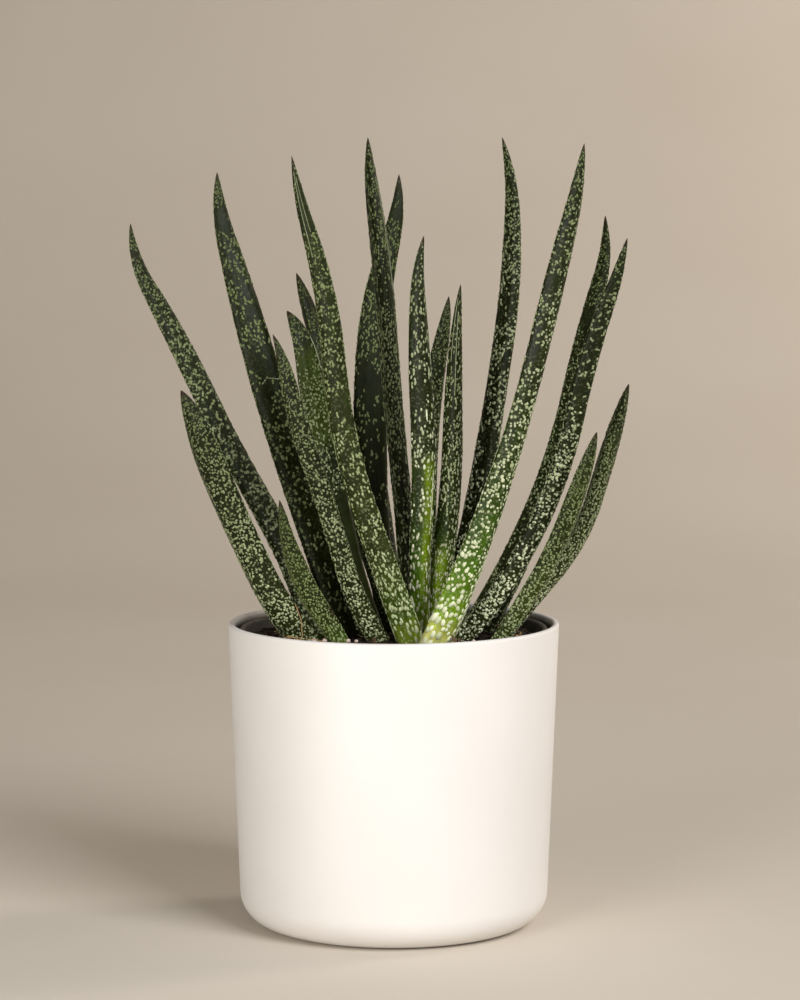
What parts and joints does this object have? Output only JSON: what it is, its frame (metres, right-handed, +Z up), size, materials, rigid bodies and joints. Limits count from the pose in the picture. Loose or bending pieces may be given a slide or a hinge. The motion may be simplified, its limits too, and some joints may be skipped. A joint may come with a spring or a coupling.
{
  "type": "potted gasteria",
  "caption": "Potted gasteria, a clump of upright, keeled, warty succulent leaves growing from soil in a nursery pot inside a plain round white cover pot.",
  "frame": {"origin": "middle of the cover pot's flat underside, on the surface that it stands on", "axes": "+Z up along the pot's axis, -Y toward the picture's viewer, +X to the viewer's right"},
  "size_m": [0.2092, 0.14, 0.3329],
  "materials": {
    "cover_pot": "smooth matt warm white plastic",
    "nursery_pot": "thin dark grey-brown moulded plastic",
    "soil": "loose dark brown peat mix with pale grit, bark and roots",
    "rootstock": "dull pale brown buried stem",
    "old_leaf": "very dark green succulent skin with a soft sheen and raised grey-green warts",
    "mid_leaf": "dark green succulent skin with a paler base and raised pale green warts",
    "young_leaf": "green succulent skin, yellow-green at the base, with raised cream warts"
  },
  "bodies": {
    "root": {"cover_pot": "cover_pot", "nursery_pot": "nursery_pot", "soil": "soil", "rootstock": "rootstock", "leaf_left_1": "old_leaf", "leaf_left_2": "old_leaf", "leaf_left_3": "old_leaf", "leaf_left_4": "mid_leaf", "leaf_inner_1": "old_leaf", "leaf_inner_2": "old_leaf", "leaf_inner_3": "old_leaf", "leaf_inner_4": "old_leaf", "leaf_front_1": "mid_leaf", "leaf_front_2": "young_leaf", "leaf_front_3": "young_leaf", "leaf_front_4": "young_leaf", "leaf_front_5": "old_leaf", "leaf_front_6": "old_leaf", "leaf_back_1": "old_leaf", "leaf_back_2": "old_leaf", "leaf_back_3": "old_leaf", "leaf_back_4": "old_leaf", "leaf_right_1": "old_leaf", "leaf_right_2": "old_leaf", "leaf_right_3": "old_leaf", "leaf_right_4": "old_leaf", "leaf_right_5": "old_leaf"}
  },
  "joints": []
}
